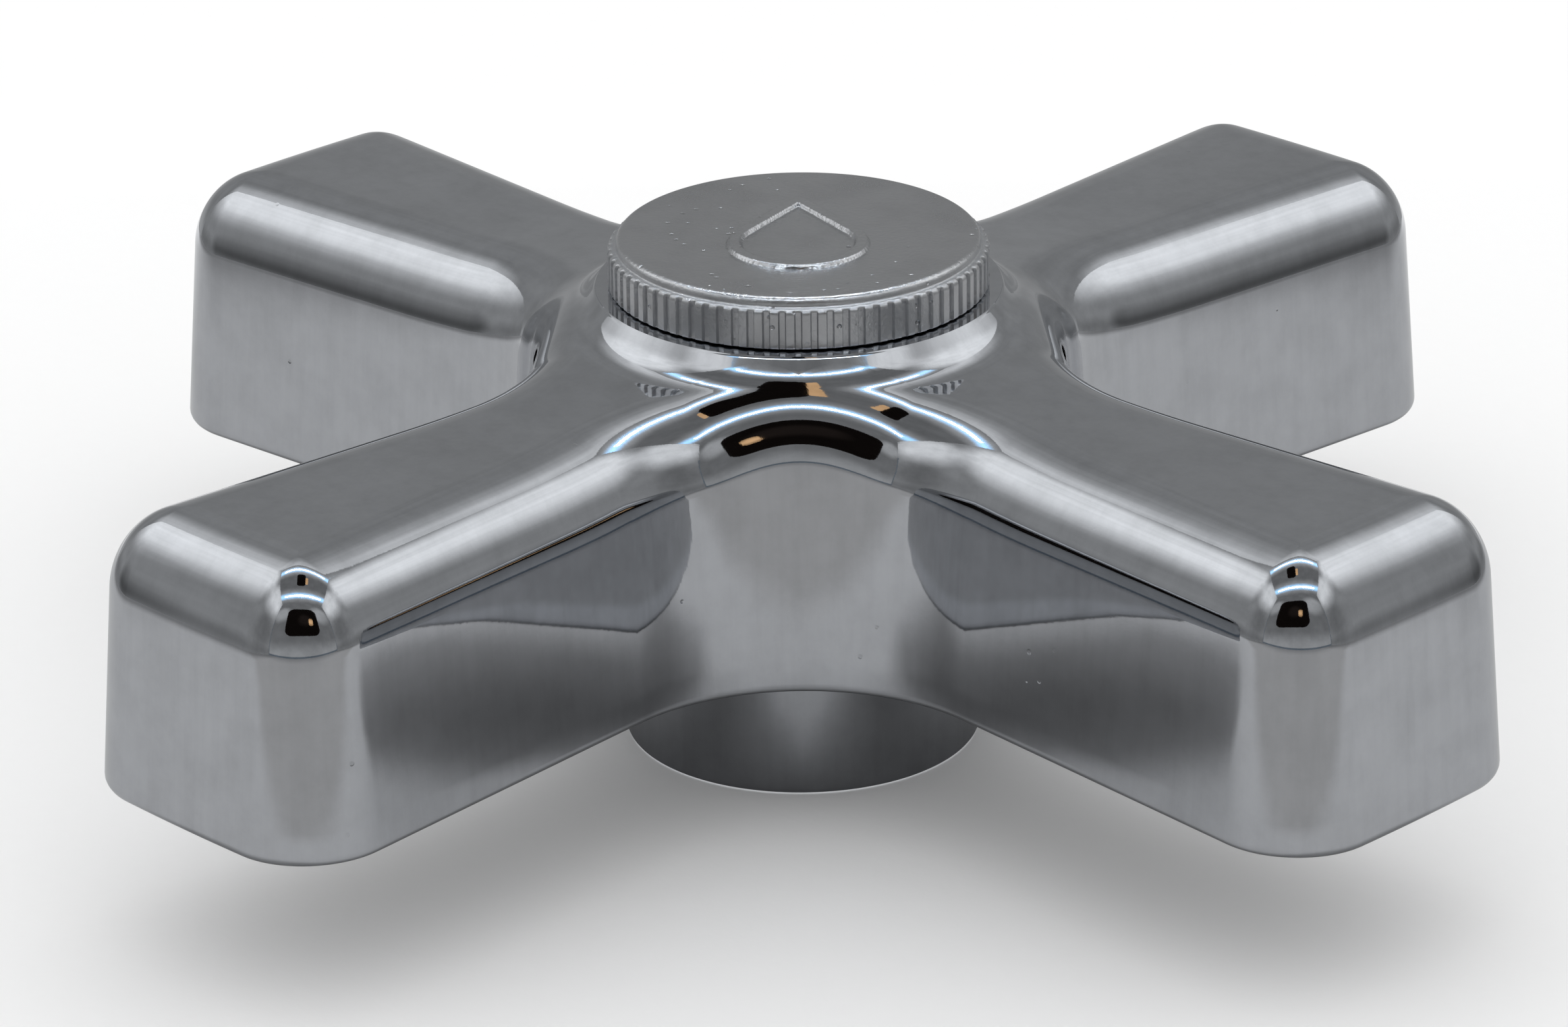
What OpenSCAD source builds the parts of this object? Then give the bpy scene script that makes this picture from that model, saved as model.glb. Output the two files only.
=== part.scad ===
// Cross handle for a water valve: four flared arms on a hub, a skirt below and a knurled index cap on top.
// Frame: +Z up along the valve stem, arms along +X, -X, +Y and -Y, origin at the centre of the skirt's
// lower face. Millimetres.

/* [Arms] */
// Tip to tip span
span = 76; // [60:1:110]
// Height of an arm from its flat underside to its flat top
arm_h = 12.95; // [9:0.05:18]
// Half width of an arm at its tip, at the underside
tip_hw = 8.27; // [5:0.01:12]
// Half width the side lines would have at the stem axis
root_hw = 5.35; // [4:0.01:9]
// Corner radius at the tip, seen from above
tip_r = 4.12; // [1:0.01:7]
// Radius of the concave wall between two arms
web_r = 9.24; // [5:0.01:14]
// How far the tip face stands out at its middle
tip_bulge = 0.25; // [0:0.01:1]
// Rounding along the top edges
top_r = 3.9; // [1:0.05:5]
// Rounding along the lower edges
low_r = 0.5; // [0.2:0.05:1]
// Draft of the side walls, degrees
draft = 4.42; // [0:0.01:8]

/* [Hub] */
// Height of the skirt below the arms
skirt_h = 7.27; // [3:0.01:15]
// Skirt outer radius
skirt_r = 8.38; // [7:0.01:12]
// Radius and depth of the recess inside the skirt
recess_r = 6.9; // [5.5:0.05:8]
recess_h = 4; // [1:0.1:6]
// Height of the flat seat under the cap, above the skirt's lower face
seat_z = 22.2; // [18:0.05:30]
// Radius of that flat seat
seat_r = 9.4; // [9:0.05:11]
// Height of the collar's straight flank
collar_h = 0.5; // [0.2:0.05:1]
// Slope of that flank, degrees
collar_a = 50.5; // [30:0.5:65]
// Radius of the concave foot below the flank
collar_r = 2.6; // [1:0.1:5]
// Slope of the shallow apron that runs out along the arms, degrees
apron_a = 8; // [2:0.5:15]
// Width of the blend between apron and arms
blend = 0.8; // [0.4:0.1:1.9]

/* [Core] */
// Wall left around the hollow under each arm
core_wall = 2.1; // [1.5:0.1:3.5]
// Nearest the hollow comes to the stem axis
core_x0 = 12.2; // [11:0.1:16]
// Height of the hollow's roof above the arm's underside
core_h = 10.7; // [6:0.1:11]

/* [Socket] */
// Outer radius of the brass socket pressed into the hub
insert_r = 5; // [4.6:0.1:6]
// Top of the brass socket
insert_top = 13.6; // [10:0.1:15]
// Length of the plain lead-in at its mouth
lead_h = 2.6; // [1:0.1:4]
// Radius of the lead-in
lead_r = 4.1; // [3.6:0.05:4.5]
// Spline root and tip radii, number of splines and depth of the splined length
spline_out = 4; // [3:0.05:4.5]
spline_in = 3.6; // [2.6:0.05:4.2]
spline_n = 20; // [12:1:36]
spline_h = 5.6; // [3:0.1:7]

/* [Cap] */
// Radius over the knurl
cap_r = 8.8; // [7:0.05:11]
// Height of the knurled rim
rim_h = 1.82; // [1:0.01:4]
// Number of knurl ridges and depth of the grooves
knurl_n = 76; // [36:1:96]
knurl_d = 0.2; // [0.05:0.01:0.5]
// Radius and height of the raised top disc
disc_r = 8.42; // [6:0.01:10]
disc_h = 0.45; // [0.2:0.01:1]
// Gap between rim and seat when the cap is done up
cap_gap = 0.15; // [0.05:0.01:0.5]
// Height and line width of the raised drop outline
drop_h = 0.22; // [0.1:0.01:0.5]
drop_w = 0.75; // [0.4:0.05:1.5]
// Thread pitch
pitch = 1; // [0.75:0.05:1.5]
// Thread crest radius on the cap
thread_r = 6.4; // [5:0.05:7]
// Thread depth
thread_d = 0.6; // [0.3:0.05:0.8]
// Clearance between the two threads
thread_gap = 0.15; // [0.08:0.01:0.25]
// Length of the cap's threaded spigot below the rim
spigot_h = 4.05; // [2:0.05:6]

/* [Screw] */
// Thread radius of the handle screw
screw_r = 2; // [1.5:0.1:3]
// Length below the head
screw_l = 10; // [6:0.5:14]
// Screw thread pitch
screw_pitch = 0.7; // [0.5:0.05:1]
// Head radius and height
head_r = 3.6; // [3:0.1:4.2]
head_h = 2.5; // [1.5:0.1:3]
// Flat washer thickness
washer_t = 0.8; // [0.5:0.1:1.5]
// Lock washer thickness
lock_t = 1; // [0.6:0.1:1.5]

/* [Hidden] */

// colours of the finishes
chrome = [0.78, 0.79, 0.81];
satin = [0.6, 0.61, 0.63];
brass = [0.78, 0.62, 0.32];
steel = [0.66, 0.67, 0.69];
rubber = [0.06, 0.06, 0.065];

// facets of exact round features are set where they are made
fine = 96;

// plan geometry of one half arm
low_cd = low_r * tan(draft) + low_r / cos(draft);
tip_x = span / 2 - tip_bulge + low_cd - low_r;
slope = (tip_hw - root_hw) / tip_x;
side_a = atan(slope);
web_c = (root_hw + web_r / cos(side_a)) / (1 - slope);

// section geometry of the arm edge
arm_z0 = skirt_h;
arm_z1 = skirt_h + arm_h;
top_cz = arm_h - top_r;
top_cd = top_cz * tan(draft) + top_r / cos(draft);

// numbers of columns along a half arm and rows up its edge
n_end = 2;
n_corner = 6;
n_side = 1;
n_web1 = 3;
n_web2 = 7;
web_split = 14;
n_low = 3;
n_top = 8;
n_ring = 7;
n_chord = 6;
im = n_end + n_corner + n_side + n_web1;
n = im + n_web2;
rows = n_low + n_top + 2;

// heights inside the hub
web_z = insert_top + 1.5;
groove_z = seat_z - 0.8;
rim_z = seat_z + cap_gap;
bore_r = thread_r + thread_gap - thread_d;
thread_z = rim_z - spigot_h + 0.4;
flat_z = web_z;
lock_z = flat_z + washer_t;
head_z = lock_z + lock_t;

function turn(p, a) = [p[0] * cos(a) - p[1] * sin(a), p[0] * sin(a) + p[1] * cos(a)];
function wall_q(d) = max(tip_r - d, 0.04);
function corner_x(d) = tip_x - d - wall_q(d);
function corner_y(d) = root_hw + slope * corner_x(d) - (d + wall_q(d)) / cos(side_a);
function bulge(y) = tip_bulge * max(0, 1 - pow(y / tip_hw, 2));
function corner_p(a, d) = [corner_x(d) + wall_q(d) * cos(a), corner_y(d) + wall_q(d) * sin(a)];
function web_p(a, d) = [web_c - (web_r + d) * sin(a), web_c - (web_r + d) * cos(a)];
function end_p(t, d) = [tip_x - d, corner_y(d) * t];
function lifted(p) = [p[0] + bulge(p[1]), p[1]];
function mix(p, q, t) = p + (q - p) * t;
function web_a(k) = k <= n_web1 ?
    -side_a + (web_split + side_a) * k / n_web1 :
    web_split + (45 - web_split) * (k - n_web1) / n_web2;

// plan point of column i of a half arm, moved inwards by d
function half_p(i, d) =
    i < n_end ? lifted(end_p(i / n_end, d)) :
    i < n_end + n_corner ? lifted(corner_p((90 + side_a) * (i - n_end) / n_corner, d)) :
    i < n_end + n_corner + n_side ?
        mix(corner_p(90 + side_a, d), web_p(-side_a, d), (i - n_end - n_corner) / n_side) :
    web_p(web_a(i - n_end - n_corner - n_side), d);

// collar height at radius r: seat, straight flank, concave foot, apron
foot_r = seat_r + collar_h / tan(collar_a);
apron_r = foot_r + collar_r * (sin(collar_a) - sin(apron_a));
apron_z = seat_z - collar_h - collar_r * (cos(apron_a) - cos(collar_a));
function foot_s(r) = sin(collar_a) - (r - foot_r) / collar_r;
function collar_z(r) = r <= seat_r ? seat_z :
    r <= foot_r ? seat_z - (r - seat_r) * tan(collar_a) :
    r <= apron_r ? seat_z - collar_h - collar_r * (sqrt(1 - pow(foot_s(r), 2)) - cos(collar_a)) :
    apron_z - (r - apron_r) * tan(apron_a);
function join_z(a, b) = max(a, b) + blend / 4 * pow(max(blend - abs(a - b), 0) / blend, 2);
// height of the arms' tops with the collar rising out of them
function top_z(p) = join_z(arm_z1, collar_z(norm(p)));

// the edge rounding is a ball of radius top_r rolled along the wall under the top surface: height of
// its centre above the arms' underside, its inset, and the angle at which it meets the top surface
ball_a = [for (a = [4:2:98]) a];
function centre_d(cz) = cz * tan(draft) + top_r / cos(draft);
function room(i, cd) = [for (a = ball_a)
    top_z(half_p(i, cd - top_r * cos(a))) - arm_z0 - top_r * sin(a)];
function ball(i) = let (
    first = min(room(i, top_cd)),
    cd = centre_d(first),
    all = room(i, cd),
    cz = min(all)
) [centre_d(cz), cz, ball_a[search(cz, all)[0]]];

// where a column's rounding hands over to the ring round the hub
web_knee = 3.2;
function knee_d(i) = top_cd + (web_knee - top_cd) * pow(max(i - im, 0) / n_web2, 2);
function stop_a(i, cd) = i <= im ? 90 : acos(max(0, min(1, (cd - knee_d(i)) / top_r)));

// columns of a half arm: centre inset, centre height, meeting angle, stop angle
balls = [for (i = [0:n]) let (b = ball(i)) [b[0], b[1], b[2], stop_a(i, b[0])]];

// edge profile row k of column i: angle, inset and height above the underside
function low_a(k) = -90 + (90 + draft) * k / n_low;
function top_a(i, k) = draft + (balls[i][3] - draft) * (k - n_low - 1) / n_top;
function row_d(i, k) = k <= n_low ? low_cd - low_r * cos(low_a(k)) :
    balls[i][0] - top_r * cos(top_a(i, k));
function row_z(i, k) = k <= n_low ? low_r + low_r * sin(low_a(k)) :
    balls[i][1] + top_r * sin(top_a(i, k));

// grid of the walls and roundings: column j counts from one web centre to the next
function col_s(j) = j - (n - 1);
function flip(p, s) = s < 0 ? [p[0], -p[1]] : p;
function edge_xy(i, k) = half_p(i, row_d(i, k));
function edge_h(i, k) = k > n_low && top_a(i, k) > balls[i][2] ? top_z(edge_xy(i, k)) :
    arm_z0 + row_z(i, k);
function grid_xy(j, k) = flip(edge_xy(abs(col_s(j)), k), col_s(j));
function grid_p(arm, j, k) = [each turn(grid_xy(j, k), arm * 90), edge_h(abs(col_s(j)), k)];

// ring between the knees and the seat: m counts round one quarter
m_low = n - im - 1;
m_high = m_low + n_chord;
m_all = m_high + n - im + 1;
function ring_col(m) = m <= m_low ? m : m - m_high + im + n - 1;
function on_chord(m) = m >= m_low && m <= m_high;
function chord_t(m) = (m - m_low) / n_chord;
chord_p = half_p(im, balls[im][0]);
function knee_xy(m) = on_chord(m) ? [chord_p[0], chord_p[1] * (2 * chord_t(m) - 1)] :
    grid_xy(ring_col(m), rows - 1);
function seat_xy(m) = knee_xy(m) * seat_r / norm(knee_xy(m));
function ring_xy(m, s) = mix(knee_xy(m), seat_xy(m), s / n_ring);
function ring_h(m, s) = s == n_ring ? seat_z : top_z(ring_xy(m, s));
function ring_p(arm, m, s) = [each turn(ring_xy(m, s), arm * 90), ring_h(m, s)];

// vertex numbers
cols = 8 * n;
ring0 = cols * rows;
function gi(c, k) = (c % cols) * rows + k;
function ri(q, s) = ring0 + (q % (4 * m_all)) * (n_ring + 1) + s;
function arm_of(q) = floor((q % (4 * m_all)) / m_all);
function m_of(q) = (q % (4 * m_all)) % m_all;
function inner_chord(q) = m_of(q) > m_low && m_of(q) < m_high;
function foot_col(q) = arm_of(q) * 2 * n + ring_col(m_of(q));
function vi(q, s) = s > 0 || inner_chord(q) ? ri(q, s) : gi(foot_col(q), rows - 1);
function ti(arm, s) = gi(arm * 2 * n + n - 1 + s, rows - 1);
function foot_i(arm, k) = k == 0 ? ti(arm, -im) : k < n_chord ? ri(arm * m_all + m_low + k, 0) :
    ti(arm, im + n_chord - k);
function quad(a, b, c, d) = [[a, b, c], [a, c, d]];

module cross_skin() {
    pts = concat(
        [for (arm = [0:3], j = [0:2 * n - 1], k = [0:rows - 1]) grid_p(arm, j, k)],
        [for (arm = [0:3], m = [0:m_all - 1], s = [0:n_ring]) ring_p(arm, m, s)],
        [[0, 0, arm_z0]]
    );
    walls = [for (c = [0:cols - 1], k = [0:rows - 2])
        each quad(gi(c, k), gi(c, k + 1), gi(c + 1, k + 1), gi(c + 1, k))];
    ring = [for (q = [0:4 * m_all - 1], s = [0:n_ring - 1])
        each quad(vi(q, s), vi(q, s + 1), vi(q + 1, s + 1), vi(q + 1, s))];
    low = [for (c = [0:cols - 1]) [len(pts) - 1, gi(c, 0), gi(c + 1, 0)]];
    seat = [[for (q = [4 * m_all - 1:-1:0]) vi(q, n_ring)]];
    tips = [for (arm = [0:3]) [ti(arm, 1), ti(arm, 0), ti(arm, -1)]];
    tops = [for (arm = [0:3], s = [1:im - 2])
        each quad(ti(arm, s + 1), ti(arm, s), ti(arm, -s), ti(arm, -s - 1))];
    feet = [for (arm = [0:3], k = [0:n_chord]) [ti(arm, 1 - im), foot_i(arm, k), foot_i(arm, k + 1)]];
    polyhedron(points = pts, faces = concat(walls, ring, low, seat, tips, tops, feet), convexity = 8);
}

// rounded plan of the hollow under one arm, cw inside the side walls
function core_y(x, w) = root_hw + slope * x - w / cos(side_a);
function arc(c, r, a0, a1) = [for (k = [0:4]) [c[0] + r * cos(a0 + (a1 - a0) * k / 4),
    c[1] + r * sin(a0 + (a1 - a0) * k / 4)]];
module core_plan(w, r) {
    x0 = core_x0 + w - core_wall;
    x1 = tip_x - w;
    y0 = core_y(x0 + r, w + r);
    y1 = core_y(x1 - r, w + r);
    polygon(concat(
        arc([x1 - r, y1], r, 0, 90 + side_a),
        arc([x0 + r, y0], r, 90 + side_a, 180),
        arc([x0 + r, -y0], r, 180, 270 - side_a),
        arc([x1 - r, -y1], r, 270 - side_a, 360)
    ));
}

module core() {
    translate([0, 0, arm_z0 - 1])
        linear_extrude(height = core_h - 1) core_plan(core_wall, 2);
    translate([0, 0, arm_z0 + core_h - 3])
        linear_extrude(height = 3) core_plan(core_wall + 1.1, 1.4);
}

// one ridge of thread: right-hand helix from z0 over the given turns, root at r0, crest at r1
module helix(r0, r1, w0, w1, p, z0, turns, seg) {
    total = round(turns * seg);
    pts = [for (k = [0:total]) each
        [for (c = [[r0, -w0], [r0, w0], [r1, w1], [r1, -w1]])
            [c[0] * cos(360 * k / seg), c[0] * sin(360 * k / seg), z0 + p * k / seg + c[1]]]];
    sides = [for (k = [0:total - 1], e = [0:3]) each quad(
        4 * k + e, 4 * k + 4 + e, 4 * k + 4 + (e + 1) % 4, 4 * k + (e + 1) % 4)];
    ends = [[0, 1, 2, 3], [4 * total + 3, 4 * total + 2, 4 * total + 1, 4 * total]];
    polyhedron(points = pts, faces = concat(sides, ends), convexity = 10);
}

module handle_body() {
    color(chrome)
    difference() {
        union() {
            cross_skin();
            translate([0, 0, 0.3]) cylinder(r = skirt_r, h = skirt_h + 0.7, $fn = fine);
            cylinder(r1 = skirt_r - 0.3, r2 = skirt_r, h = 0.3, $fn = fine);
        }
        translate([0, 0, -1]) cylinder(r = recess_r, h = recess_h + 1, $fn = fine);
        translate([0, 0, recess_h - 1]) cylinder(r = insert_r, h = insert_top - recess_h + 1, $fn = fine);
        translate([0, 0, insert_top - 1]) cylinder(r = screw_r + 0.3, h = 4, $fn = 48);
        translate([0, 0, web_z]) cylinder(r = bore_r, h = seat_z, $fn = fine);
        translate([0, 0, groove_z]) cylinder(r = 7.3, h = 2, $fn = fine);
        thread_cut();
        for (a = [0:90:270]) rotate([0, 0, a]) core();
    }
}

// the cap's thread in the hub
module thread_cut() {
    helix(bore_r - 0.15, thread_r + thread_gap, 0.5, 0.13, pitch, thread_z - 2 * pitch, 5, 24);
}

module broach_insert() {
    color(brass)
    difference() {
        union() {
            translate([0, 0, recess_h]) cylinder(r = insert_r, h = insert_top - recess_h, $fn = fine);
        }
        translate([0, 0, recess_h - 1]) cylinder(r = lead_r, h = lead_h + 1, $fn = fine);
        translate([0, 0, recess_h + lead_h - 0.5])
            linear_extrude(height = spline_h + 0.5)
            polygon([for (k = [0:2 * spline_n - 1])
                let (r = k % 2 == 0 ? spline_out : spline_in, a = 180 * k / spline_n)
                [r * cos(a), r * sin(a)]]);
        translate([0, 0, recess_h]) cylinder(r = screw_r + 0.3, h = 20, $fn = 48);
    }
}

module handle_screw() {
    color(steel)
    difference() {
        union() {
            translate([0, 0, head_z])
                rotate_extrude($fn = 64)
                polygon(concat([[0, 0], [head_r, 0], [head_r, head_h - 1.3]],
                    [for (k = [1:6]) [head_r * cos(15 * k) , head_h - 1.3 + 1.3 * sin(15 * k)]]));
            translate([0, 0, head_z - 2.5]) cylinder(r = 1.9, h = 3, $fn = 48);
            translate([0, 0, head_z - screw_l + 0.6]) cylinder(r = 1.56, h = 8.2, $fn = 48);
            translate([0, 0, head_z - screw_l]) cylinder(r1 = 1.1, r2 = 1.56, h = 0.6, $fn = 48);
            helix(1.45, screw_r, 0.3, 0.06, screw_pitch, head_z - screw_l + 1, 9.6, 20);
        }
        for (a = [0, 90]) rotate([0, 0, a])
            translate([-1.9, -0.42, head_z + head_h - 1.6]) cube([3.8, 0.84, 3]);
    }
}

module flat_washer() {
    color(steel)
    translate([0, 0, flat_z])
    difference() {
        cylinder(r = 4.4, h = washer_t, $fn = fine);
        translate([0, 0, -1]) cylinder(r = 2.2, h = 4, $fn = 48);
    }
}

module lock_washer() {
    color(steel)
    translate([0, 0, lock_z])
    difference() {
        cylinder(r = 3.7, h = lock_t, $fn = fine);
        translate([0, 0, -1]) cylinder(r = 2.15, h = 4, $fn = 48);
        translate([3, 0, lock_t / 2]) rotate([35, 0, 0]) cube([4, 0.4, 6], center = true);
    }
}

// outline of the raised drop, w inside its outer edge
module drop_plan(w) {
    r = 3.3 - w;
    tip = 6.3 - w * 1.9;
    a = acos(r / tip);
    translate([0, -1.5]) {
        circle(r = r, $fn = 64);
        polygon([[0, tip], [r * cos(90 + a), r * sin(90 + a)], [0, 0], [r * cos(90 - a), r * sin(90 - a)]]);
    }
}

module cap_knurl() {
    intersection() {
        translate([0, 0, rim_z])
            linear_extrude(height = rim_h)
            polygon([for (k = [0:knurl_n - 1]) each
                [for (c = [[-0.5, 1], [-0.31, 0], [0.31, 0]])
                    let (a = 360 / knurl_n * (k + c[0]), r = cap_r - knurl_d * c[1])
                    [r * cos(a), r * sin(a)]]]);
        translate([0, 0, rim_z])
            rotate_extrude($fn = fine)
            polygon([[0, 0], [cap_r - 0.3, 0], [cap_r + 0.05, 0.35], [cap_r + 0.05, rim_h - 0.3],
                [cap_r - 0.25, rim_h], [0, rim_h]]);
    }
}

module index_cap() {
    dz = rim_z + rim_h;
    color(satin)
    difference() {
        union() {
            cap_knurl();
            translate([0, 0, dz - 0.2])
                rotate_extrude($fn = fine)
                polygon([[0, 0], [disc_r + 0.02, 0], [disc_r + 0.02, 0.2], [disc_r, disc_h * 0.5 + 0.2],
                    [disc_r - 0.1, disc_h * 0.85 + 0.2], [disc_r - 0.32, disc_h + 0.2],
                    [disc_r - 0.6, disc_h + 0.2], [0, disc_h + 0.2]]);
            translate([0, 0, dz + disc_h - 0.1])
                rotate([0, 0, 45])
                linear_extrude(height = drop_h + 0.1)
                difference() {
                    drop_plan(0);
                    drop_plan(drop_w);
                }
            translate([0, 0, rim_z - 0.95]) cylinder(r = thread_r - 0.05, h = 1.2, $fn = fine);
            translate([0, 0, rim_z - spigot_h])
                cylinder(r = thread_r - thread_d, h = spigot_h + 0.2, $fn = fine);
            helix(thread_r - thread_d - 0.2, thread_r, 0.34, 0.06, pitch, thread_z, 2.4, 24);
        }
        translate([0, 0, rim_z - spigot_h - 1])
            cylinder(r = thread_r - thread_d - 0.9, h = spigot_h + 1.3, $fn = fine);
    }
}

module cap_ring() {
    color(rubber)
    translate([0, 0, groove_z + 0.47])
        rotate_extrude($fn = fine)
        translate([6.83, 0]) circle(r = 0.42, $fn = 24);
}

handle_body();
broach_insert();
handle_screw();
flat_washer();
lock_washer();
index_cap();
cap_ring();
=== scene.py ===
"""Chrome cross handle with a knurled index cap, built over the CAD frame and set in a photo tent."""

import math

import bmesh
import bpy
import numpy as np
from mathutils import Matrix, Vector
from mathutils.geometry import tessellate_polygon


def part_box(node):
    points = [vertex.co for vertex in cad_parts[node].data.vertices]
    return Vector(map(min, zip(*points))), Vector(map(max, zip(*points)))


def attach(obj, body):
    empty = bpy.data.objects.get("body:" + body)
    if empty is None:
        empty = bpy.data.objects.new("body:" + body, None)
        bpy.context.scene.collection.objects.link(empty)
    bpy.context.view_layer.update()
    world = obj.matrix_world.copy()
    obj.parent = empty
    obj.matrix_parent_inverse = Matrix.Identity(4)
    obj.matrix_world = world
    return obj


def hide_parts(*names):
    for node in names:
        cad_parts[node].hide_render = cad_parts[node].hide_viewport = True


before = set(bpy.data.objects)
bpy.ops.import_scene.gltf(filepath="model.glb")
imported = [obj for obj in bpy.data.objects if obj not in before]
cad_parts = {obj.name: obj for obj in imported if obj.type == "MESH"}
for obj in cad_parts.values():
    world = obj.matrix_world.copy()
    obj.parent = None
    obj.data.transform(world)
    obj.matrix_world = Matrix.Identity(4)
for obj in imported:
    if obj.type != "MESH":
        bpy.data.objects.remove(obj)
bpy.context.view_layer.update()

# --- shape of the handle, millimetres, as in the CAD source -------------------------------------
MM = 0.001
body_lo, body_hi = [[c / MM for c in corner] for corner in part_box("handle_body")]

SPAN = body_hi[0] - body_lo[0]
SEAT_Z = body_hi[2]
# Arms: height, underside and top, half widths at the tip and carried on to the stem axis, radii in plan,
# radii along the top and lower edges, draft of the walls.
ARM_H = 12.95
ARM_Z0 = 7.27
ARM_Z1 = ARM_Z0 + ARM_H
TIP_HW = 8.27
ROOT_HW = 5.35
TIP_R = 4.12
WEB_R = 9.24
TIP_BULGE = 0.25
TOP_R = 3.9
LOW_R = 0.5
DRAFT = math.radians(4.42)
# Skirt and the recess inside it.
SKIRT_R = 8.38
RECESS_R = 6.9
RECESS_H = 4.0
# Seat under the cap, the collar that falls from it (flank, concave foot, shallow apron), and the width of
# its blend into the arms.
SEAT_R = 9.4
COLLAR_H = 0.5
COLLAR_R = 2.6
COLLAR_A = math.radians(50.5)
APRON_A = math.radians(8)
BLEND = 0.8
# Hollow under each arm: wall left round it, nearest point to the stem axis, height, and its roundings.
CORE_WALL = 2.1
CORE_X0 = 12.2
CORE_H = 10.7
CORE_TAPER = 0.1
CORE_LIP = 0.35
CORE_ROOF_R = 1.6
CORE_CORNER_R = 2
CORE_LEAST_R = 0.4
# Bore for the brass socket, web with the screw hole, and the bore and ring recess above it.
INSERT_R = 5.0
INSERT_TOP = 13.6
WEB_Z = 15.1
SCREW_HOLE = 2.3
BORE_R = 5.95
GROOVE_R = 7.3
GROOVE_Z = SEAT_Z - 0.8
# The cap's thread, and how far out it is cut into the bore.
PITCH = 1.0
THREAD_GAP_R = 6.55
# Half widths at the inner and the outer radius, of the cut in the hub and of the cap's narrower ridge.
CUT_HALF_WIDTHS = (0.43, 0.13)
RIDGE_HALF_WIDTHS = (0.27, 0.06)

# Worked out from those: inset of the lower rounding's centre, tip, slope and angle of the sides, centre of
# the web's arc, height and inset of the top rounding's centre.
LOW_CD = LOW_R * math.tan(DRAFT) + LOW_R / math.cos(DRAFT)
TIP_X = SPAN / 2 - TIP_BULGE + LOW_CD - LOW_R
SLOPE = (TIP_HW - ROOT_HW) / TIP_X
SIDE_A = math.atan(SLOPE)
WEB_C = (ROOT_HW + WEB_R / math.cos(SIDE_A)) / (1 - SLOPE)
TOP_CZ = ARM_H - TOP_R
TOP_CD = TOP_CZ * math.tan(DRAFT) + TOP_R / math.cos(DRAFT)
# Angle at which the web's columns close up, and the inset its rounding reaches in the middle of the web.
WEB_SPLIT = math.radians(14)
WEB_KNEE = 3.2

# --- mesh helpers ------------------------------------------------------------------------------

# Points nearer to each other than this are one point, and shorter edges are dropped. Metres.
SAME_POINT = 2e-7
LEAST_EDGE = 1e-8


class Skin:
    """Collects grids and flat faces in millimetres and turns them into one smooth-shaded object."""

    def __init__(self):
        self.points = []
        self.faces = []
        self.count = 0

    def add(self, pts):
        """Adds points of shape (..., 3) and returns their numbers in the same shape."""
        pts = np.asarray(pts, float)
        flat = pts.reshape(-1, 3)
        ids = np.arange(self.count, self.count + len(flat)).reshape(pts.shape[:-1])
        self.points.append(flat)
        self.count += len(flat)
        return ids

    def quads(self, ids, wrap=False, flip=False):
        """Faces between neighbours of a grid of point numbers. wrap joins the first axis to itself."""
        if wrap:
            ids = np.concatenate([ids, ids[:1]])
        a, b, c, d = ids[:-1, :-1], ids[1:, :-1], ids[1:, 1:], ids[:-1, 1:]
        quad = np.stack([a, b, c, d], -1).reshape(-1, 4)
        self.faces += (quad[:, ::-1] if flip else quad).tolist()

    def grid(self, pts, wrap=False, flip=False):
        ids = self.add(pts)
        self.quads(ids, wrap, flip)
        return ids

    def fill(self, loops, flip=False):
        """Flat face bounded by the first loop with the others as holes. Loops hold point numbers."""
        allp = np.concatenate(self.points)
        order = [i for loop in loops for i in loop]
        tris = tessellate_polygon([[Vector(allp[i]) for i in loop] for loop in loops])
        for t in tris:
            t = [order[i] for i in t]
            n = np.cross(allp[t[1]] - allp[t[0]], allp[t[2]] - allp[t[0]])
            if abs(n[2]) < 1e-12:
                continue
            if (n[2] > 0) == flip:
                t = t[::-1]
            self.faces.append(t)

    def build(self, name, angle=32):
        mesh = bpy.data.meshes.new(name)
        pts = np.concatenate(self.points) * MM
        mesh.from_pydata(pts.tolist(), [], self.faces)
        mesh.validate()
        weld(mesh)
        mesh.shade_smooth()
        mesh.set_sharp_from_angle(angle=math.radians(angle))
        obj = bpy.data.objects.new(name, mesh)
        bpy.context.scene.collection.objects.link(obj)
        return obj


def weld(mesh):
    """Joins points that coincide and turns all faces outwards."""
    bm = bmesh.new()
    bm.from_mesh(mesh)
    bmesh.ops.remove_doubles(bm, verts=bm.verts, dist=SAME_POINT)
    bmesh.ops.dissolve_degenerate(bm, edges=bm.edges, dist=LEAST_EDGE)
    bmesh.ops.recalc_face_normals(bm, faces=bm.faces)
    bm.to_mesh(mesh)
    bm.free()


def rotated(pts, quarter):
    """Points turned by quarter turns about the stem axis."""
    c, s = [(1, 0), (0, 1), (-1, 0), (0, -1)][quarter]
    out = np.array(pts, float)
    x, y = out[..., 0].copy(), out[..., 1].copy()
    out[..., 0] = c * x - s * y
    out[..., 1] = s * x + c * y
    return out


def revolve(profile, count):
    """Grid (count, rows, 3) of a profile of (radius, height) rows turned about the stem axis."""
    prof = np.asarray(profile, float)
    a = np.linspace(0, 2 * np.pi, count, endpoint=False)[:, None]
    r, z = prof[None, :, 0], prof[None, :, 1]
    return np.stack([r * np.cos(a), r * np.sin(a), np.broadcast_to(z, (count, len(prof)))], -1)


def arc(cx, cy, r, a0, a1, n):
    """n + 1 points of an arc, angles in degrees."""
    a = np.radians(np.linspace(a0, a1, n + 1))
    return np.stack([cx + r * np.cos(a), cy + r * np.sin(a)], -1)


# --- outer skin of the casting -----------------------------------------------------------------

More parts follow.
